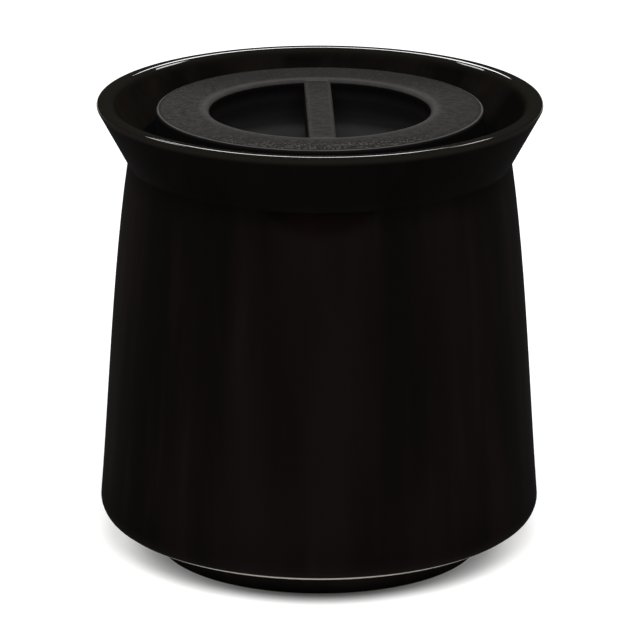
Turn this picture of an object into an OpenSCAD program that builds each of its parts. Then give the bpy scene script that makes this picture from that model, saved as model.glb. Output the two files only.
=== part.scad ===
// Lidded candle jar: a flared ceramic jar on a foot ring, a moulded plug lid with a finger well
// and a pull bar, and the soft ring that seals the lid in the throat.
// Millimetres. The origin is the centre of the foot on the table, and +Z is up.

/* [Jar body] */
// Height from the table to the top of the rim
jar_h = 106.7; // [100:0.1:125]
// Diameter at the widest part of the body, just above the heel
belly_d = 102.2; // [98:0.2:108]
// Height of the widest part above the table
belly_z = 12; // [11:0.5:15]
// Outward swell of the wall halfway between heel and neck
wall_bow = 0.25; // [0:0.05:0.8]
// Thickness of the wall, measured level
wall_t = 4.2; // [3.4:0.1:5.5]
// Thickness of the floor inside the foot ring
floor_t = 6; // [5:0.5:9]
// Rounding between the wall and the floor inside
floor_round = 8; // [4:0.5:10]

/* [Flared rim] */
// Diameter over the rim
rim_d = 102; // [98:0.5:108]
// Height of the flare, from the crease at the neck to the top of the rim
flare_h = 14.1; // [13.5:0.1:16]
// Lean of the flare from upright, in degrees
flare_a = 30.5; // [27:0.5:33]
// Thickness of the flare, measured square to it
flare_t = 3.8; // [3.4:0.1:4.4]
// Rounding of the rim's outer edge
rim_out_round = 1.5; // [0.8:0.1:1.7]
// Rounding of the rim's inner edge
rim_in_round = 2.2; // [1:0.1:2.4]
// Rounding in the crease outside the neck
neck_round = 1.5; // [0.5:0.1:3]
// Rounding of the throat inside the neck
throat_round = 3; // [1:0.5:4]

/* [Heel and foot] */
// Rounding where the wall turns under
heel_round = 4.4; // [3.5:0.1:5]
// Wider rounding between the heel and the underside
under_round = 11.5; // [8:0.5:11.5]
// Slope of the heel where the two roundings meet, in degrees
heel_a = 41; // [39:1:44]
// Outer diameter of the foot ring
foot_d = 74.9; // [66:0.5:77]
// Height of the underside above the table
foot_h = 5.6; // [4.6:0.1:6]
// Width of the foot ring
foot_w = 4; // [3:0.1:6]
// Depth of the hollow inside the foot ring
hollow_h = 3.5; // [2:0.1:3.8]
// Rounding of the foot ring's lower edges
foot_round = 0.6; // [0.2:0.1:1]
// Rounding where the foot meets the underside
foot_cove = 1.8; // [0.5:0.1:2]

/* [Lid] */
// Distance of the lid's top below the rim
lid_drop = 2; // [1:0.1:3]
// Gap between the lid's skirt and the throat, which the seal closes
lid_gap = 2; // [1.6:0.1:2.4]
// Thickness of the lid's moulded walls
lid_t = 2.6; // [2:0.1:3]
// Rounding of the lid's outer edge
lid_round = 0.8; // [0.3:0.1:1.2]
// Diameter of the finger well
well_d = 50.4; // [44:0.2:52]
// Depth of the finger well
well_h = 7.9; // [6:0.1:8.5]
// Rounding of the well's upper edge
well_lip = 1.6; // [0.6:0.1:1.8]
// Rounding between the well's wall and floor
well_cove = 3; // [1:0.5:4]
// Width of the pull bar across the well
bar_w = 6.3; // [5.8:0.1:9]
// Depth of the bar's top below the lid's top
bar_drop = 0.2; // [0.1:0.05:0.6]
// Rounding of the bar's upper edges
bar_round = 0.8; // [0.3:0.1:1.2]
// Thickness of the bar's side walls, around the slot that cores it from below
bar_t = 2; // [1.6:0.1:2.2]

/* [Seal] */
// Thickness of the seal's fins
fin_t = 1.4; // [1:0.1:1.6]
// Step from the lower fin to the upper one
fin_step = 2.8; // [2.4:0.1:3]
// Rounding of the fins' tips
fin_round = 0.5; // [0.3:0.1:0.6]
// Depth of the groove that holds the seal
groove_t = 1.2; // [0.8:0.1:1.4]
// How far the seal's band stands out of its groove
band_proud = 0.3; // [0.2:0.05:0.5]
// Height of the skirt's flange below the groove
flange_t = 1.2; // [1:0.1:1.6]
// Gap between the fins and the jar
seal_gap = 0.2; // [0.15:0.05:0.3]
// Running clearance between the seal and its groove
groove_gap = 0.05; // [0.03:0.01:0.08]

/* [Hidden] */
$fn = 120;

// Extra length of cuts and joins, so that no two faces only touch
lap = 1;
// Straight bands that follow the wall's swell
wall_bands = 8;
// How far a rounding stands past a true tangent, so that it cuts the edge cleanly
ease = 0.001;
// How far a rounding's slice runs along the straight edges beside it
overrun = 0.2;

// Outer corner of the rim, before rounding, on the flare's outer face
rim_corner = rim_d / 2 - rim_out_round
    + rim_out_round * (cos(flare_a) + (1 + sin(flare_a)) * tan(flare_a));
// Inner corner of the rim, before rounding, on the flare's inner face
mouth_corner = rim_corner - flare_t / cos(flare_a);
neck_z = jar_h - flare_h;
neck_r = rim_corner - flare_h * tan(flare_a);

// The wall runs from the neck down to the heel's rounding
heel_c = [belly_d / 2 - heel_round, belly_z];
wall_run = neck_z - belly_z;
wall_a = atan((belly_d / 2 - neck_r - 4 * wall_bow) / wall_run);
wall_end = heel_c + heel_round * [cos(wall_a), sin(wall_a)];
// Angle between the directions in which the wall and the heel's slope face
heel_turn = wall_a + 90 - heel_a;
heel_corner = heel_c + heel_round / cos(heel_turn / 2)
    * [cos(wall_a - heel_turn / 2), sin(wall_a - heel_turn / 2)];
under_r = heel_corner.x - (heel_corner.y - foot_h) / tan(heel_a);
floor_z = hollow_h + floor_t;
floor_r = wall_end.x - wall_t + (wall_end.y - floor_z) * tan(wall_a);

// Point on the outside of the wall, from 0 at the neck to 1 at the heel
function wall_at(t) = [
    neck_r + (wall_end.x - neck_r) * t + 4 * wall_bow * t * (1 - t),
    neck_z + (wall_end.y - neck_z) * t
];
wall_points = [for (i = [1:wall_bands - 1]) wall_at(i / wall_bands)];
wall_slope = (wall_points[0].x - neck_r) / (neck_z - wall_points[0].y);

// Radius of the flare's inner face at a height
function flare_at(z) = mouth_corner - (jar_h - z) * tan(flare_a);
// Height and radius at which the inner faces of flare and wall meet
throat_z = (neck_r - wall_t + wall_slope * neck_z - mouth_corner + jar_h * tan(flare_a))
    / (tan(flare_a) + wall_slope);
throat_r = flare_at(throat_z);

// The lid takes its place and size from the rim and the throat
lid_z = jar_h - lid_drop;
lid_r = throat_r - lid_gap;
well_r = well_d / 2;
well_z = lid_z - well_h;
groove_r = lid_r - groove_t;
bar_z = lid_z - bar_drop;

// The seal's fins stand on the flare, just above the throat
fin_z = [throat_z + fin_round, throat_z + fin_round + fin_step];
groove_low = fin_z[0] - fin_round;
groove_high = fin_z[1] + fin_t;
skirt_z = groove_low - flange_t;
seal_in = groove_r + groove_gap;
band_r = lid_r + band_proud;

// Radius of a fin's tip, whose lower rounding stays a gap away from the flare
function fin_tip(z) = flare_at(z + fin_round) - (fin_round + seal_gap) / cos(flare_a) + fin_round;

function unit(v) = v / norm(v);
function flat(p) = [p.x, p.y];
function round_of(p) = len(p) > 2 ? p[2] : 0;

// Rounding at a corner: where it starts and ends on the outline, its centre, the two ends of the
// slice that makes it, and whether it bulges outwards
function bend(from, at, to) =
    let (
        a = unit(flat(from) - flat(at)),
        b = unit(flat(to) - flat(at)),
        half = acos(a * b) / 2,
        run = round_of(at) / tan(half)
    )
    [
        flat(at) + a * run,
        flat(at) + b * run,
        flat(at) + unit(a + b) * round_of(at) / sin(half),
        flat(at) + a * (run + overrun),
        flat(at) + b * (run + overrun),
        a.y * b.x - a.x * b.y > 0
    ];

// Slice of a round disc that reaches a little past both ends of a bend
module slice(b) {
    centre = b[2];
    r = norm(b[0] - centre) + ease;
    reach = 2;
    intersection() {
        translate(centre)
            circle(r);
        polygon([
            centre,
            centre + reach * (b[3] - centre),
            centre + reach * r * unit(b[0] + b[1] - 2 * centre),
            centre + reach * (b[4] - centre)
        ]);
    }
}

// Closed outline, anticlockwise, whose points are [x, y] or [x, y, rounding]
module rounded(p) {
    n = len(p);
    bends = [for (i = [0:n - 1]) bend(p[(i + n - 1) % n], p[i], p[(i + 1) % n])];
    difference() {
        union() {
            polygon([
                for (i = [0:n - 1])
                    each round_of(p[i]) > 0 ? [bends[i][0], bends[i][1]] : [flat(p[i])]
            ]);
            for (i = [0:n - 1])
                if (round_of(p[i]) > 0 && bends[i][5])
                    slice(bends[i]);
        }
        for (i = [0:n - 1])
            if (round_of(p[i]) > 0 && !bends[i][5])
                slice(bends[i]);
    }
}

// Half section of the jar as if it were solid
module jar_outside() {
    foot_r = foot_d / 2;
    rounded([
        [0, hollow_h],
        [foot_r - foot_w, hollow_h, foot_cove],
        [foot_r - foot_w, 0, foot_round],
        [foot_r, 0, foot_round],
        [foot_r, foot_h, foot_cove],
        [under_r, foot_h, under_round],
        [heel_corner.x, heel_corner.y, heel_round],
        for (i = [wall_bands - 2:-1:0]) wall_points[i],
        [neck_r, neck_z, neck_round],
        [rim_corner, jar_h, rim_out_round],
        [0, jar_h]
    ]);
}

// Half section of the space inside the jar, out past the rim
module jar_inside() {
    rounded([
        [0, floor_z],
        [floor_r, floor_z, floor_round],
        for (i = [wall_bands - 2:-1:0]) wall_points[i] - [wall_t, 0],
        [throat_r, throat_z, throat_round],
        [mouth_corner, jar_h, rim_in_round],
        [rim_corner + lap, jar_h],
        [rim_corner + lap, jar_h + lap],
        [0, jar_h + lap]
    ]);
}

// Half section of the lid without its bar: ring, well and skirt, cored from below
module lid_section() {
    core_in = well_r + lid_t;
    core_out = groove_r - lid_t;
    rounded([
        [0, well_z - lid_t],
        [core_in, well_z - lid_t],
        [core_in, lid_z - lid_t],
        [core_out, lid_z - lid_t],
        [core_out, skirt_z],
        [lid_r, skirt_z, lid_round / 2],
        [lid_r, groove_low],
        [groove_r, groove_low],
        [groove_r, groove_high],
        [lid_r, groove_high],
        [lid_r, lid_z, lid_round],
        [well_r, lid_z, well_lip],
        [well_r, well_z, well_cove],
        [0, well_z]
    ]);
}

// Cross section of the pull bar, which stands on the floor of the well
module bar_section() {
    rounded([
        [-bar_w / 2, well_z - lap],
        [bar_w / 2, well_z - lap],
        [bar_w / 2, bar_z, bar_round],
        [-bar_w / 2, bar_z, bar_round]
    ]);
}

// A section drawn in X and Z, drawn out along Y to both sides of the middle
module drawn_out(length) {
    rotate([90, 0, 0])
        linear_extrude(height = length, center = true)
            children();
}

// Glazed ceramic jar with its foot ring
module jar() {
    color([0.045, 0.04, 0.04])
        rotate_extrude()
            difference() {
                jar_outside();
                jar_inside();
            }
}

// Moulded lid
module lid() {
    slot_w = bar_w - 2 * bar_t;
    slot_low = well_z - lid_t - lap;
    slot_high = bar_z - lid_t;
    color([0.22, 0.21, 0.21])
        difference() {
            union() {
                rotate_extrude()
                    lid_section();
                drawn_out(2 * well_r + lid_t)
                    bar_section();
            }
            drawn_out(2 * (well_r - lid_t))
                translate([-slot_w / 2, slot_low])
                    square([slot_w, slot_high - slot_low]);
        }
}

// Soft seal: a band held in the skirt's groove, with two fins against the flare
module lid_seal() {
    color([0.1, 0.1, 0.1])
        rotate_extrude()
            rounded([
                [seal_in, groove_low + groove_gap],
                [band_r, groove_low + groove_gap],
                for (z = fin_z)
                    each [
                        [band_r, z],
                        [fin_tip(z), z, fin_round],
                        [fin_tip(z), z + fin_t - groove_gap, fin_round],
                        [band_r, z + fin_t - groove_gap]
                    ],
                [seal_in, groove_high - groove_gap]
            ]);
}

jar();
lid();
lid_seal();
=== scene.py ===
# %% [markdown]
# # A lidded candle jar
# This lesson dresses a packed CAD model of a black candle jar: a glazed pot with a flared rim, a
# dark plug lid with a finger well and a pull bar, and the soft ring that seals the lid. The frame
# comes first, because every piece below has to sit where its solid sits. The drawing is in
# millimetres and Blender works in metres, so one factor carries every size across.

# %% Load the frame
import math

import bmesh
import bpy
from mathutils import Matrix, Quaternion, Vector


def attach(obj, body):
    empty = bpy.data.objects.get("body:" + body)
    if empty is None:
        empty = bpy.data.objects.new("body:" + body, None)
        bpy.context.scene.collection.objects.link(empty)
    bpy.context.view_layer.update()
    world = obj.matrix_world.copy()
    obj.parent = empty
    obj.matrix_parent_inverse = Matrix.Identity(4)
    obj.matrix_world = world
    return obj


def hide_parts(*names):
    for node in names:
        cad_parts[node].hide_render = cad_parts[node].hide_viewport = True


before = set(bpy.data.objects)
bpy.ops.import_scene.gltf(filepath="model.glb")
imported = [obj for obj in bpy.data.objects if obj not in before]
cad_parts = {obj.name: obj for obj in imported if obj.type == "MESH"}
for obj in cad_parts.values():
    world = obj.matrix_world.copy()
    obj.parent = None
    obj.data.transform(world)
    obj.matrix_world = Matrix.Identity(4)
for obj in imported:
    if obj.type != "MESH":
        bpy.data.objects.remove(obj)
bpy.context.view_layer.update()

MM = 0.001


# %% [markdown]
# ## Corners that turn on a wheel
# A pot, a lid's skirt and a sealing ring are all turned shapes: one outline, swept round the
# axis. An outline could be typed in as a long list of points, but then nobody can read its
# roundings. Here it is a short list of named corners, each with a radius from the axis, a height
# and a rounding. The corners become a wire of edges, and a vertex bevel rounds each of them. The
# bevel wants the distance along the edges to where the arc starts, which follows from the angle
# of the corner.

# %% Draw an outline and round its corners
ARC_STEP = math.radians(9)
FEWEST_SEGMENTS = 3


def arc_segments(opening):
    """How many short edges round a corner whose two sides open by this angle."""
    return max(FEWEST_SEGMENTS, round((math.pi - opening) / ARC_STEP))


def outline_wire(corners):
    """A wire in the XZ plane through named corners of (radius, height, rounding) in mm."""
    bm = bmesh.new()
    points = [Vector((radius, 0, height)) * MM for radius, height, _ in corners.values()]
    roundings = [rounding * MM for _, _, rounding in corners.values()]
    verts = [bm.verts.new(point) for point in points]
    for start, end in zip(verts, verts[1:]):
        bm.edges.new((start, end))
    for i in range(1, len(points) - 1):
        opening = (points[i - 1] - points[i]).angle(points[i + 1] - points[i])
        if roundings[i]:
            bmesh.ops.bevel(
                bm, geom=[verts[i]], affect="VERTICES", offset=roundings[i] / math.tan(opening / 2),
                segments=arc_segments(opening), profile=0.5, material=-1,
            )
    print("an outline of", len(corners), "corners and", len(bm.verts), "points")
    return bm


print("a square corner is rounded in", arc_segments(math.pi / 2), "segments")

# %% [markdown]
# ## From outline to piece
# A full spin closes the outline into a skin. Points on the axis land on each other at every step,
# so doubles are merged before the normals are recalculated. The last helper makes the object,
# hides the plain solid it stands for and ties it to the body it moves with. Weighted normals keep
# broad faces flat beside their narrow roundings.

# %% Spin, clean and hand over
TURN_STEPS = 240
MERGE = 0.002 * MM
CRISP = math.radians(35)


def turn(bm):
    """Sweeps everything in the bmesh once round the Z axis."""
    bmesh.ops.spin(
        bm, geom=bm.verts[:] + bm.edges[:], cent=(0, 0, 0), axis=(0, 0, 1), dvec=(0, 0, 0),
        angle=math.tau, steps=TURN_STEPS, use_merge=True,
    )


def make_piece(bm, name, body, node):
    """Turns a finished bmesh into an object that stands for a CAD node."""
    bmesh.ops.remove_doubles(bm, verts=bm.verts[:], dist=MERGE)
    bmesh.ops.recalc_face_normals(bm, faces=bm.faces[:])
    for face in bm.faces:
        face.smooth = True
    for edge in bm.edges:
        edge.smooth = edge.calc_face_angle(0) < CRISP
    mesh = bpy.data.meshes.new(name)
    bm.to_mesh(mesh)
    bm.free()
    piece = bpy.data.objects.new(name, mesh)
    bpy.context.scene.collection.objects.link(piece)
    even = piece.modifiers.new("Even normals", "WEIGHTED_NORMAL")
    even.keep_sharp = True
    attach(piece, body)
    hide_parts(node)
    return piece


print("a full turn has steps of", 360 / TURN_STEPS, "degrees")

# %% [markdown]
# ## The pot
# On the real jar this is one piece of cast ceramic: a foot ring, a heel that turns in two
# roundings, a wall that leans in towards the neck with a faint swell, and a thick rim that flares
# out again. The outline runs from the middle of the hollow under the foot, out and up the
# outside, over the lip, and down the inside to the middle of the floor.

# %% Corners of the pot
pot_corners = {
    "middle of the hollow": (0, 3.5, 0),
    "edge of the hollow": (33.45, 3.5, 1.8),
    "foot, inner edge": (33.45, 0, 0.6),
    "foot, outer edge": (37.45, 0, 0.6),
    "crease above the foot": (37.45, 5.6, 1.8),
    "underside": (46.04, 5.6, 11.5),
    "heel": (51.12, 10.13, 4.4),
    "crease at the neck": (44.05, 92.6, 1.5),
    "lip, outer edge": (51.69, 106.7, 1.0),
    "lip, inner edge": (47.71, 106.7, 2.2),
    "throat": (39.59, 92.9, 3.0),
    "floor, at the wall": (47.11, 9.5, 8.0),
    "middle of the floor": (0, 9.5, 0),
}
pot_mesh = outline_wire(pot_corners)

# %% [markdown]
# The wall isn't a straight cone: it swells by 0.7 mm, most of all a third of the way down from the
# neck. An arc would put the most in the middle, so the two long wall edges, outside and inside,
# are divided, and each new point is pushed out along a curve that is nought at both ends. The
# curve by itself rises to 4/27, and one factor brings that to 1.

# %% Swell the wall and turn the pot
WALL_SWELL = 0.7 * MM
WALL_CUTS = 11
TO_PEAK = 27 / 4
neck_height = pot_corners["crease at the neck"][1] * MM
heel_height = pot_corners["heel"][1] * MM
walls = [edge for edge in pot_mesh.edges if edge.calc_length() > (neck_height - heel_height) / 2]
divided = bmesh.ops.subdivide_edges(pot_mesh, edges=walls, cuts=WALL_CUTS)
for point in divided["geom_inner"]:
    if isinstance(point, bmesh.types.BMVert):
        along = (neck_height - point.co.z) / (neck_height - heel_height)
        point.co.x += WALL_SWELL * TO_PEAK * along * (1 - along) ** 2
turn(pot_mesh)
pot = make_piece(pot_mesh, "glazed_pot", "jar", "jar")

# %% [markdown]
# ## The seal
# Under the lid's edge a soft ring sits in a groove of the skirt, and its two fins close the gap
# to the throat. Only a dark sliver of it shows from above, and a dark line would do for that. But
# the ring comes out with the lid, so it is turned in full. Its outline is closed: it starts and
# ends halfway up the inside.

# %% Turn the seal
SEAL_IN, SEAL_BAND = 36.438, 37.888
SEAL_LOW, SEAL_MIDDLE, SEAL_HIGH = 92.955, 95.0, 97.555
LOWER_FIN, UPPER_FIN = 39.865, 41.514
FIN_ROUND = 0.5
seal_corners = {
    "inside, start": (SEAL_IN, SEAL_MIDDLE, 0),
    "inside, below": (SEAL_IN, SEAL_LOW, 0),
    "band, below": (SEAL_BAND, SEAL_LOW, 0),
    "root of the lower fin, below": (SEAL_BAND, 93.405, 0),
    "lower fin, below": (LOWER_FIN, 93.405, FIN_ROUND),
    "lower fin, above": (LOWER_FIN, 94.755, FIN_ROUND),
    "root of the lower fin, above": (SEAL_BAND, 94.755, 0),
    "root of the upper fin, below": (SEAL_BAND, 96.205, 0),
    "upper fin, below": (UPPER_FIN, 96.205, FIN_ROUND),
    "upper fin, above": (UPPER_FIN, SEAL_HIGH, FIN_ROUND),
    "inside, above": (SEAL_IN, SEAL_HIGH, 0),
    "inside, end": (SEAL_IN, SEAL_MIDDLE, 0),
}
seal_mesh = outline_wire(seal_corners)
turn(seal_mesh)
seal = make_piece(seal_mesh, "seal_ring", "seal", "lid_seal")

# %% [markdown]
# ## The lid
# The lid is one moulding. Seen from above it is a flat ring, a round finger well and a straight
# bar across the well, and below the ring hangs a skirt with the seal's groove. It could be cut out
# of a disc, but all except the bar is round, so turning it like the pot gives every rounding at
# once. The outline starts under the middle of the well, runs out through the hollow between well
# and skirt, up the outside, and over the ring into the well.

# %% Turn the ring, the well and the skirt
LID_TOP, LID_RADIUS, LID_WALL = 104.7, 37.588, 2.6
WELL_RADIUS, WELL_FLOOR = 25.2, 96.8
SKIRT_FOOT, GROOVE_LOW, GROOVE_HIGH, GROOVE_RADIUS = 91.705, 92.905, 97.605, 36.388
HOLLOW_IN, HOLLOW_OUT = WELL_RADIUS + LID_WALL, GROOVE_RADIUS - LID_WALL
lid_corners = {
    "under the middle": (0, WELL_FLOOR - LID_WALL, 0),
    "under the well": (HOLLOW_IN, WELL_FLOOR - LID_WALL, 0),
    "hollow, inner side": (HOLLOW_IN, LID_TOP - LID_WALL, 0),
    "hollow, outer side": (HOLLOW_OUT, LID_TOP - LID_WALL, 0),
    "skirt, inside": (HOLLOW_OUT, SKIRT_FOOT, 0),
    "skirt, outside": (LID_RADIUS, SKIRT_FOOT, 0.4),
    "flange": (LID_RADIUS, GROOVE_LOW, 0),
    "groove, below": (GROOVE_RADIUS, GROOVE_LOW, 0),
    "groove, above": (GROOVE_RADIUS, GROOVE_HIGH, 0),
    "ring, below": (LID_RADIUS, GROOVE_HIGH, 0),
    "ring, outer edge": (LID_RADIUS, LID_TOP, 0.8),
    "lip of the well": (WELL_RADIUS, LID_TOP, 1.6),
    "cove of the well": (WELL_RADIUS, WELL_FLOOR, 3.0),
    "middle of the well": (0, WELL_FLOOR, 0),
}
lid_mesh = outline_wire(lid_corners)
turn(lid_mesh)
bmesh.ops.remove_doubles(lid_mesh, verts=lid_mesh.verts[:], dist=MERGE)
print("lid without its bar", len(lid_mesh.faces), "faces")

# %% [markdown]
# The bar is a block with two rounded upper edges, long enough to bury its ends in the ring, and
# its top lies a hair below the ring's. From below, a slot cores it out, as a mould does so that
# no part of the wall is too thick to cool evenly. Both blocks reach a little past the faces that
# they join or cut, so that no two faces lie in one plane.

# %% The bar and its slot
BAR_WIDTH, BAR_TOP, BAR_WALL, BAR_ROUND = 6.3, 104.5, 2.0, 0.8
BAR_SEGMENTS = 8
OVERLAP = 1


def block(width, length, low, high):
    """A block centred on the axis, between two heights, all in mm."""
    made = bmesh.new()
    size = Matrix.Diagonal((width * MM, length * MM, (high - low) * MM, 1))
    middle = Matrix.Translation((0, 0, (low + high) / 2 * MM))
    bmesh.ops.create_cube(made, size=1, matrix=middle @ size)
    return made


bar_mesh = block(BAR_WIDTH, 2 * WELL_RADIUS + LID_WALL, WELL_FLOOR - OVERLAP, BAR_TOP)
long_edges = [edge for edge in bar_mesh.edges if edge.calc_length() > 2 * BAR_WIDTH * MM]
upper = [edge for edge in long_edges if min(vert.co.z for vert in edge.verts) > WELL_FLOOR * MM]
bmesh.ops.bevel(
    bar_mesh, geom=upper, affect="EDGES", offset=BAR_ROUND * MM, segments=BAR_SEGMENTS,
    profile=0.5, material=-1,
)
slot_width, slot_length = BAR_WIDTH - 2 * BAR_WALL, 2 * (WELL_RADIUS - LID_WALL)
slot_mesh = block(slot_width, slot_length, WELL_FLOOR - LID_WALL - OVERLAP, BAR_TOP - LID_WALL)
print("bar", len(bar_mesh.faces), "faces, slot", round(slot_width, 2), "mm wide")

# %% [markdown]
# Bar and ring are joined by a Boolean modifier, because the bar meets the round wall and the
# cove of the well along curves that no extrude would follow. The modifier's result is read back
# into a bmesh, so that nothing is left to be worked out later.

# %% Join the bar and cut the slot


def combine(base, tool, operation):
    """Joins one closed bmesh with another, or cuts it, and returns the result."""
    holders = []
    for shape in (base, tool):
        bmesh.ops.recalc_face_normals(shape, faces=shape.faces[:])
        mesh = bpy.data.meshes.new("blank")
        shape.to_mesh(mesh)
        shape.free()
        holders.append(bpy.data.objects.new("blank", mesh))
        bpy.context.scene.collection.objects.link(holders[-1])
    boolean = holders[0].modifiers.new("Combine", "BOOLEAN")
    boolean.operation, boolean.object, boolean.solver = operation, holders[1], "EXACT"
    joined = bmesh.new()
    joined.from_object(holders[0], bpy.context.evaluated_depsgraph_get())
    for holder in holders:
        bpy.data.meshes.remove(holder.data)
    return joined


lid_mesh = combine(lid_mesh, bar_mesh, "UNION")
lid_mesh = combine(lid_mesh, slot_mesh, "DIFFERENCE")
lid = make_piece(lid_mesh, "moulded_lid", "lid", "lid")

# %% [markdown]
# ## Finishes as small sums
# A finish is a tree of nodes, and a tree is hard to read as code. So one small class wraps a
# socket and lets Python's operators add the Math nodes. Each operator works from both sides, so
# that 1 - mask is as good as mask - 1.

# %% A value that adds its own Math nodes


class Wire:
    """A value on its way through a finish; operators on it add Math nodes."""

    def __init__(self, finish, socket):
        self.finish, self.socket = finish, socket

    def sum(self, operation, first, second):
        return self.finish.node("ShaderNodeMath", {"operation": operation}, {0: first, 1: second})

    def __add__(self, other):
        return self.sum("ADD", self, other)

    __radd__ = __add__

    def __sub__(self, other):
        return self.sum("SUBTRACT", self, other)

    def __rsub__(self, other):
        return self.sum("SUBTRACT", other, self)

    def __mul__(self, other):
        return self.sum("MULTIPLY", self, other)

    __rmul__ = __mul__


print("from the right as well:", [name for name in vars(Wire) if name.startswith("__r")])

# %% [markdown]
# Every other kind of node could have a helper of its own. One method is enough: it takes the
# node's type, its settings, and what goes into its sockets, which is a wire or a plain value.

# %% A material that is easy to wire


class Nodes:
    """A material with one Principled shader and one way to add nodes to it."""

    def __init__(self, name):
        self.material = bpy.data.materials.new(name)
        self.material.use_nodes = True
        self.tree = self.material.node_tree
        self.shader = self.tree.nodes["Principled BSDF"]

    def feed(self, socket, value):
        if isinstance(value, Wire):
            self.tree.links.new(value.socket, socket)
        else:
            socket.default_value = value

    def node(self, kind, settings=None, sockets=None, output=0):
        made = self.tree.nodes.new(kind)
        for name, value in (settings or {}).items():
            setattr(made, name, value)
        for name, value in (sockets or {}).items():
            self.feed(made.inputs[name], value)
        return Wire(self, made.outputs[output])

    def coat(self, piece, sockets):
        """Feeds the shader and gives the material to a piece."""
        for name, value in sockets.items():
            self.feed(self.shader.inputs[name], value)
        piece.data.materials.append(self.material)
        print(self.material.name, "on", piece.name, "has", len(self.tree.nodes), "nodes")


print("materials that came with the frame:", len(bpy.data.materials))

# %% [markdown]
# The finishes share a few patterns and masks. All of them read Object coordinates, because those
# are the jar's own metres and stay on a piece when it moves. A mask is a soft step along a height
# or a radius, so it follows the shape without being painted on it.

# %% Patterns and masks


class Finish(Nodes):
    """A material with the patterns and masks that the finishes share."""

    def place(self):
        """Object coordinates, in metres."""
        return self.node("ShaderNodeTexCoord", output="Object")

    def part(self, spot, letter):
        """One part of a place: X, Y or Z."""
        return self.node("ShaderNodeSeparateXYZ", {}, {0: spot}, letter)

    def stretched(self, spot, scale, shift=(0, 0, 0)):
        """A place scaled along each axis and moved; a pattern runs long where the scale is low."""
        return self.node(
            "ShaderNodeVectorMath", {"operation": "MULTIPLY_ADD"}, {0: spot, 1: scale, 2: shift})

    def reach(self, spot):
        """Distance from the jar's axis."""
        flat = self.stretched(spot, (1, 1, 0))
        return self.node("ShaderNodeVectorMath", {"operation": "LENGTH"}, {0: flat}, "Value")

    def noise(self, spot, size, detail=3.0):
        """Cloudy values from 0 to 1 whose patches are about size metres across."""
        return self.node(
            "ShaderNodeTexNoise", {"noise_dimensions": "3D"},
            {"Vector": spot, "Scale": 1 / size, "Detail": detail, "Roughness": 0.55},
        )

    def step(self, value, start, end):
        """0 below start, 1 past end, and a soft step between them."""
        return self.node(
            "ShaderNodeMapRange", {"interpolation_type": "SMOOTHSTEP"},
            {"Value": value, "From Min": start, "From Max": end},
        )

    def past(self, length, start, end):
        """A soft step along a length, with its start and end in mm."""
        return self.step(length, start * MM, end * MM)

    def band(self, length, start, full, fade, end):
        """1 between full and fade, 0 outside start and end, all in mm."""
        return self.past(length, start, full) * (1 - self.past(length, fade, end))

    def blend(self, mask, low, high):
        """One colour where the mask is 0, another where it is 1."""
        return self.node(
            "ShaderNodeMix", {"data_type": "RGBA"}, {0: mask, 6: low, 7: high}, output=2)

    def bump(self, height, depth, under=None):
        """Relief: height goes from 0 to 1, and depth is how far that is in metres."""
        sockets = {"Height": height, "Distance": depth}
        if under:
            sockets["Normal"] = under
        return self.node("ShaderNodeBump", {}, sockets)


print("patterns and masks:", [name for name in vars(Finish) if not name.startswith("_")])

# %% [markdown]
# ## Black glaze
# The pot wears a near-black glaze that was poured over it, and a poured glaze runs: it leaves long
# streaks down the wall, some broad and some thin. They could be painted on an image, but noise has
# no seam and needs no file. Height is scaled down to a small part, so the noise runs long that way,
# and a shift puts a paler band at the front of the wall, which is a painted sheen.

# %% Runs in the glaze
# The shifts place a paler run at the front of the wall: a painted sheen.
BROAD_SCALE, BROAD_SHIFT_FOR_SHEEN, BROAD_RUN = (1, 1, 0.12), (0.3, 0.2, 0), 20 * MM
THIN_SCALE, THIN_SHIFT, THIN_RUN = (1, 1, 0.06), (0.3, 0.1, 0), 5 * MM
glaze = Finish("black_glaze")
spot = glaze.place()
broad_noise = glaze.noise(glaze.stretched(spot, BROAD_SCALE, BROAD_SHIFT_FOR_SHEEN), BROAD_RUN)
thin_noise = glaze.noise(glaze.stretched(spot, THIN_SCALE, THIN_SHIFT), THIN_RUN)
broad_runs = glaze.step(broad_noise, 0.35, 0.65)
thin_runs = glaze.step(thin_noise, 0.5, 0.75)
clouds = glaze.noise(spot, 30 * MM)
streaks = broad_runs * 0.5 + thin_runs * 0.3 + clouds * 0.2
print("runs in the glaze", len(glaze.tree.nodes), "nodes")

# %% [markdown]
# The glaze's colour isn't even. It is blackest on the outside of the flare and just under it, which
# is painted shade where the flare turns down, and a little darker towards the heel. It thins inside
# the flare, on the foot and over the lip. Just under the heel a thin pale line is painted: a
# painted highlight. The flat under the foot ring is wiped before firing, so dry clay shows there.
# The two faces of the flare lie at the same heights, so they are told apart by how far out a point
# would be if it slid down the flare's slope to the table.

# %% Where the glaze has painted shade, thins, is painted pale or is wiped
FLARE_SLOPE = 0.5886
up = glaze.part(spot, "Z")
slid_down = glaze.reach(spot) - FLARE_SLOPE * up
# Darkest on the flare's outside and just under it: painted shade.
under_flare_shade = glaze.past(up, 86, 95)
in_flare = 1 - glaze.past(slid_down, -13.2, -12.6)
by_heel = 1 - glaze.past(up, 8, 22)
on_foot = 1 - glaze.past(up, 5.2, 5.8)
lip = glaze.past(up, 104.4, 106.4)
# A thin band just under the heel, painted pale: a painted highlight.
heel_highlight_band = glaze.band(up, 6.35, 6.55, 7.5, 7.9)
dry = 1 - glaze.past(up, 0.15, 0.4)
print("glaze with its masks", len(glaze.tree.nodes), "nodes")

# %% [markdown]
# Each tone has a dark and a pale end, and the runs go from one to the other; the darkest tone
# carries the painted shade of the flare and the darker heel. The colours are then laid over each
# other, from the wall outwards to the painted pale line, the lip and the dry clay.

# %% Colours of the glaze


def colour(red, green, blue):
    return (red, green, blue, 1.0)


# The darkest tone is painted shade on and under the flare, and a little of it darkens the heel.
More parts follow.
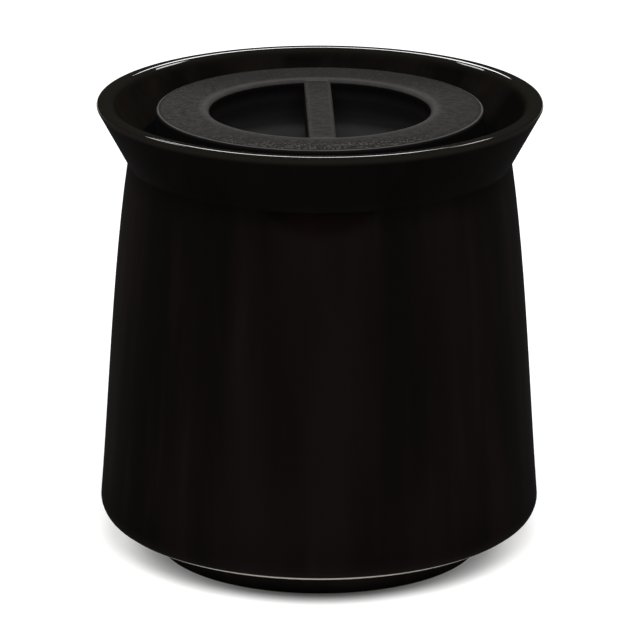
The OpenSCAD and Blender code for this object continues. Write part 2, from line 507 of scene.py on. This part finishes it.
darkest = glaze.blend(streaks, colour(0.0012, 0.0008, 0.0006), colour(0.0042, 0.0027, 0.0022))
running = glaze.blend(streaks, colour(0.0040, 0.0026, 0.0023), colour(0.0150, 0.0098, 0.0084))
thin = glaze.blend(streaks, colour(0.0090, 0.0074, 0.0062), colour(0.0330, 0.0272, 0.0230))
outside = glaze.blend(under_flare_shade + 0.35 * by_heel, running, darkest)
poured = glaze.blend(in_flare + 0.8 * on_foot, outside, thin)
# The pale heel line is a painted highlight.
heel_highlight_painted = glaze.blend(heel_highlight_band, poured, colour(0.80, 0.75, 0.64))
lipped = glaze.blend(lip, heel_highlight_painted, colour(0.0266, 0.0233, 0.0187))
fine_clouds = glaze.noise(spot, 4 * MM)
clay = glaze.blend(fine_clouds, colour(0.10, 0.085, 0.07), colour(0.17, 0.145, 0.12))
wiped = glaze.blend(dry, lipped, clay)
print("glaze with its colours", len(glaze.tree.nodes), "nodes")

# %% [markdown]
# Gloss is what makes a glaze look like one, but the photographed wall mirrors next to nothing of
# the pale table. So the clear coat is very weak on the wall, and strong only on top of the lip and
# along the pale line, where the photograph shows bright lines. Two reliefs bend the mirror image:
# long waves left by pouring, and a fine skin.

# %% Gloss of the glaze
WALL_COAT, STRONG_COAT = 0.013, 0.9
lip_top = glaze.past(up, 106.0, 106.4)
waves = glaze.bump(glaze.noise(spot, 18 * MM, 1.0), 0.05 * MM)
skin = glaze.bump(glaze.noise(spot, 1.6 * MM, 2.0), 0.002 * MM, waves)
glaze.coat(pot, {
    "Base Color": wiped,
    "Roughness": 0.05 + 0.05 * fine_clouds + 0.7 * dry,
    "Specular IOR Level": 0.0,
    "Coat Weight": (WALL_COAT + STRONG_COAT * (lip_top + heel_highlight_band)) * (1 - dry),
    "Coat IOR": 1.8,
    "Coat Roughness": 0.04,
    "Normal": skin,
})

# %% [markdown]
# ## Moulded lid
# The lid is dark grey plastic with a fine matte grain. It is paler round the well and along the
# bar's edges, partly rubbed wear and partly a painted highlight on the roundings. Its outer edge
# has a painted highlight, with a darker line just inside it that is painted shade for a groove.
# The ring is darker at the back and towards its front edge, and the well and the skirt are darker
# still: all of that is painted shade. Marks like these could be painted by hand, but a mask for
# each place is easier to move and to read.

# %% Where the lid is worn and where shade and highlights are painted
moulded = Finish("matte_moulding")
spot = moulded.place()
across, along, up = [moulded.part(spot, letter) for letter in "XYZ"]
radius = moulded.reach(spot)
from_middle = moulded.node("ShaderNodeMath", {"operation": "ABSOLUTE"}, {0: across})
on_top = moulded.past(up, 103.85, 104.05)
# The well's wall and floor get darker colours: painted shade in the recess.
in_well = (1 - moulded.past(radius, 25.8, 26.0)) * (1 - on_top)
on_floor = 1 - moulded.past(up, 98.2, 100.8)
wall_low = 1 - moulded.past(up, 100.5, 103.5)
# The skirt and the lower part of the edge rounding are painted dark: painted shade.
skirt_shade = moulded.past(radius, 36.0, 36.3) * (1 - moulded.past(up, 104.3, 104.5))
# Paler round the well and along the bar's edges: partly rubbed wear, partly a painted highlight.
by_well_wear_and_highlight = on_top * moulded.band(radius, 25.0, 25.3, 26.2, 28.6)
bar_edges_wear_and_highlight = on_top * moulded.past(from_middle, 1.9, 2.8) * (1 - moulded.past(radius, 24, 25))
# A thin pale line at the outer edge: a painted highlight on the rounding.
edge_highlight_band = moulded.band(radius, 36.88, 37.0, 37.2, 37.3)
# A thin darker line just inside the outer edge: painted shade for a groove.
groove_shade_line = moulded.band(radius, 36.25, 36.45, 36.75, 36.88)
outwards = moulded.past(radius, 28, 34)
to_front = moulded.past(-1 * along, 20, 33)
to_back = moulded.past(along, 8, 28)
print("lid masks", len(moulded.tree.nodes), "nodes")

# %% [markdown]
# Colours are laid over each other: first the mottled grey of the plastic, with painted shade on the
# ring, rubbed wear, painted highlights and the painted edge line, then the painted shade of the
# well and the skirt.

# %% Colours of the lid
DARK_GREY_AND_SHADE, PALE_GREY = colour(0.020, 0.0188, 0.0178), colour(0.090, 0.0855, 0.0810)
clouds = moulded.noise(spot, 7 * MM, 4.0)
mottle = moulded.step(moulded.noise(spot, 1.8 * MM, 3.0), 0.3, 0.7)
grain = moulded.step(moulded.noise(spot, 0.6 * MM, 3.0), 0.3, 0.7)
grey = moulded.blend(clouds * 0.4 + mottle * 0.4 + grain * 0.2, DARK_GREY_AND_SHADE, PALE_GREY)
# Painted shade: darker at the back, towards the front edge and along the groove line.
ring_shade = 0.65 * to_back + (0.15 + 0.75 * to_front) * outwards + 0.4 * groove_shade_line
ring_shaded = moulded.blend(ring_shade, grey, DARK_GREY_AND_SHADE)
# Rubbed wear together with painted highlights on the well's lip and the bar's edges.
rubbed_and_highlit = moulded.blend(by_well_wear_and_highlight * (0.3 + 0.6 * clouds), ring_shaded, colour(0.155, 0.147, 0.140))
edges_rubbed_and_highlit = moulded.blend(bar_edges_wear_and_highlight * (0.1 + 0.5 * clouds), rubbed_and_highlit, colour(0.140, 0.133, 0.127))
# The pale outer edge line is a painted highlight.
edge_highlighted = moulded.blend(on_top * edge_highlight_band * (0.3 + 0.9 * clouds), edges_rubbed_and_highlit, colour(0.24, 0.23, 0.22))
# The well's darker wall and floor are painted shade.
well_wall_shade = moulded.blend(wall_low, colour(0.0130, 0.0112, 0.0115), colour(0.0420, 0.0372, 0.0378))
well_floor_shade = moulded.blend(on_floor, well_wall_shade, colour(0.0190, 0.0178, 0.0174))
with_well_shade = moulded.blend(in_well, edge_highlighted, well_floor_shade)
# The darker skirt is painted shade.
shaded = moulded.blend(skirt_shade, with_well_shade, colour(0.022, 0.0200, 0.0205))
print("lid with its colours", len(moulded.tree.nodes), "nodes")

# %% [markdown]
# Dust comes last. Specks lie all over the ring, and more of them at its left and front. A fine
# noise makes specks where it is high, and a little added to it makes more of them. Modelled specks
# would be too many for a piece that is meant to be light.

# %% Dust on the lid
SPECK, SPECK_START, SPECK_FULL = 0.5 * MM, 0.66, 0.72
front = to_front * moulded.past(radius, 29, 33)
left = moulded.past(-1 * across, 20, 34)
scatter = 0.07 * left + 0.12 * front
dust = moulded.step(moulded.noise(spot, SPECK, 1.0) + scatter, SPECK_START, SPECK_FULL)
inside_lines = 1 - moulded.past(radius, 36.2, 36.7)
lying = dust * on_top * (0.3 + 0.3 * front) * inside_lines
moulded.coat(lid, {
    "Base Color": moulded.blend(lying, shaded, colour(0.25, 0.24, 0.23)),
    "Roughness": 0.55 + 0.2 * clouds,
    "Specular IOR Level": 0.04,
    "Normal": moulded.bump(grain, 0.02 * MM),
})

# %% [markdown]
# ## Soft black seal
# The seal is black silicone: matte, a little cloudy where dust clings to it, with a faint skin. One
# flat colour would look like a hole beside the lid, so two near blacks are mixed by soft clouds.

# %% Finish of the seal
silicone = Finish("black_silicone")
spot = silicone.place()
clouds = silicone.noise(spot, 5 * MM)
silicone.coat(seal, {
    "Base Color": silicone.blend(
        clouds, colour(0.003, 0.003, 0.003), colour(0.006, 0.0058, 0.0056)),
    "Roughness": 0.5 + 0.2 * clouds,
    "Specular IOR Level": 0.0,
    "Normal": silicone.bump(silicone.noise(spot, 0.6 * MM, 2.0), 0.01 * MM),
})

# %% [markdown]
# ## A pale table
# The jar stands on a plain pale table, wide enough to fill the view from any side. Lamps strong
# enough to turn all of it white would be too strong for the jar.

# %% The table
TABLE_HALF = 3.0
table_mesh = bmesh.new()
bmesh.ops.create_grid(table_mesh, x_segments=2, y_segments=2, size=TABLE_HALF)
table_data = bpy.data.meshes.new("table")
table_mesh.to_mesh(table_data)
table_mesh.free()
table = bpy.data.objects.new("table", table_data)
bpy.context.scene.collection.objects.link(table)
print("table", 2 * TABLE_HALF, "m square")

# %% [markdown]
# So the table has a little glow of its own, for the camera and for rays that mirrors and
# see-through things send on. Those see it white, and the glow lights nothing. It fades close to
# the foot, which paints a soft shadow round the foot on top of the jar's real shadow there.

# %% Finish of the table
FOOT_EDGE, CLEAR_OF_FOOT = 37.5, 47
paper = Finish("pale_table")
rays = [paper.node("ShaderNodeLightPath", output=kind) for kind in (
    "Is Camera Ray", "Is Glossy Ray", "Is Transmission Ray")]
seen = rays[0] + rays[1] + rays[2]
# Near the foot the glow is dim: a painted contact shadow.
clear_of_painted_shadow = paper.past(paper.reach(paper.place()), FOOT_EDGE, CLEAR_OF_FOOT)
glow = paper.blend(clear_of_painted_shadow, colour(0.05, 0.05, 0.05), colour(0.5, 0.5, 0.5))
paper.coat(table, {
    "Base Color": colour(0.7, 0.7, 0.7),
    "Emission Color": paper.blend(seen, colour(0, 0, 0), glow),
    "Emission Strength": 1.0,
    "Roughness": 0.9,
    "Specular IOR Level": 0.0,
})

# %% [markdown]
# ## Studio light
# Four soft boxes light the jar. One behind it draws the thin bright line along the front of the
# lip, a broad one overhead lights the lid and is kept out of every mirror image, and two small
# ones at the back on either side make the glints on the back of the rim.

# %% Lamps on the jar
RIM_CENTRE = Vector((0, 0, 100 * MM))


def soft_box(name, direction, distance, size, power, mirrored=True):
    """An area lamp at a distance from the rim's centre, facing it."""
    lamp = bpy.data.lights.new(name, "AREA")
    lamp.shape = "RECTANGLE"
    lamp.size, lamp.size_y = size
    lamp.energy = power
    box = bpy.data.objects.new(name, lamp)
    towards = Vector(direction).normalized()
    box.location = RIM_CENTRE + towards * distance
    box.rotation_euler = towards.to_track_quat("Z", "Y").to_euler()
    box.visible_glossy = mirrored
    bpy.context.scene.collection.objects.link(box)
    return box


jar_lamps = [
    soft_box("back_box", (0, 0.829, 0.559), 0.9, (0.25, 0.2), 1.19),
    soft_box("top_box", (0, -0.1, 0.99), 1.2, (2.2, 2.2), 12.0, mirrored=False),
    soft_box("left_box", (-0.382, 0.595, 0.7071), 0.9, (0.15, 0.13), 0.4),
    soft_box("right_box", (0.382, 0.595, 0.7071), 0.9, (0.15, 0.13), 0.4),
]
print("lamps on the jar", [lamp.name for lamp in jar_lamps])

# %% [markdown]
# Four broad suns light the table and cast the jar's soft shadow on it. A sun is as bright far out
# as it is near the jar, so the table has no edge of light.

# %% Lamps on the table


def table_sun(name, direction, strength, spread):
    """A broad even lamp for the table, from a direction."""
    lamp = bpy.data.lights.new(name, "SUN")
    lamp.energy = strength
    lamp.angle = math.radians(spread)
    sun = bpy.data.objects.new(name, lamp)
    sun.rotation_euler = Vector(direction).to_track_quat("Z", "Y").to_euler()
    bpy.context.scene.collection.objects.link(sun)
    return sun


table_lamps = [
    table_sun("table_front", (0, -0.669, 0.743), 2.6, 26),
    table_sun("table_left", (-0.880, -0.077, 0.469), 1.4, 20),
    table_sun("table_right", (0.880, -0.077, 0.469), 1.4, 20),
    table_sun("table_top", (0, -0.2, 0.98), 0.4, 60),
]
print("lamps on the table", [lamp.name for lamp in table_lamps])

# %% [markdown]
# One set of lamps for both would make either the table grey or the jar too bright. So each set is
# tied to a collection of what it lights, and a dim even surround fills what they leave.

# %% Tie the lamps to what they light


def light_only(lamps, name, lit):
    """Lets these lamps light nothing but the objects given."""
    receivers = bpy.data.collections.new(name)
    for thing in lit:
        receivers.objects.link(thing)
    for lamp in lamps:
        lamp.light_linking.receiver_collection = receivers


light_only(jar_lamps, "jar_only", (pot, seal, lid))
light_only(table_lamps, "table_only", (table,))
surround = bpy.data.worlds.new("dim_surround")
surround.use_nodes = True
surround.node_tree.nodes["Background"].inputs["Color"].default_value = colour(0.01, 0.01, 0.01)
bpy.context.scene.world = surround

# %% [markdown]
# ## The camera
# A long lens from 1.2 m, seventeen degrees above the table: the foot, the lip and the lid's ellipse
# fix those together, which is surer than placing the camera by eye. It stands a degree and a half
# to the left of the bar's line, so that the bar's side just shows, and it leans by an eighth of a
# degree, as the photograph does.

# %% The camera
IMAGE_SIDE = 640
FOCAL_PIXELS = 5180.5
SENSOR = 36.0
RISE, TURN, ROLL = math.radians(17.155), math.radians(1.5), math.radians(0.13)
DISTANCE = 1.2
AIM_HEIGHT, AIM_RIGHT = 53.83 * MM, 0.125 * MM
lens = bpy.data.cameras.new("photo_camera")
lens.sensor_width = SENSOR
lens.lens = SENSOR * FOCAL_PIXELS / IMAGE_SIDE
camera = bpy.data.objects.new("photo_camera", lens)
right = Vector((math.cos(TURN), -math.sin(TURN), 0))
back = Vector((-math.sin(TURN) * math.cos(RISE), -math.cos(TURN) * math.cos(RISE), math.sin(RISE)))
camera.location = right * AIM_RIGHT + Vector((0, 0, AIM_HEIGHT)) + back * DISTANCE
camera.rotation_euler = (back.to_track_quat("Z", "Y") @ Quaternion((0, 0, 1), ROLL)).to_euler()
bpy.context.scene.collection.objects.link(camera)
bpy.context.scene.camera = camera
bpy.context.scene.view_settings.view_transform = "Standard"
print("lens", round(lens.lens, 1), "mm")

# %% [markdown]
# ## Update the scene

# %% Update the scene
bpy.context.view_layer.update()
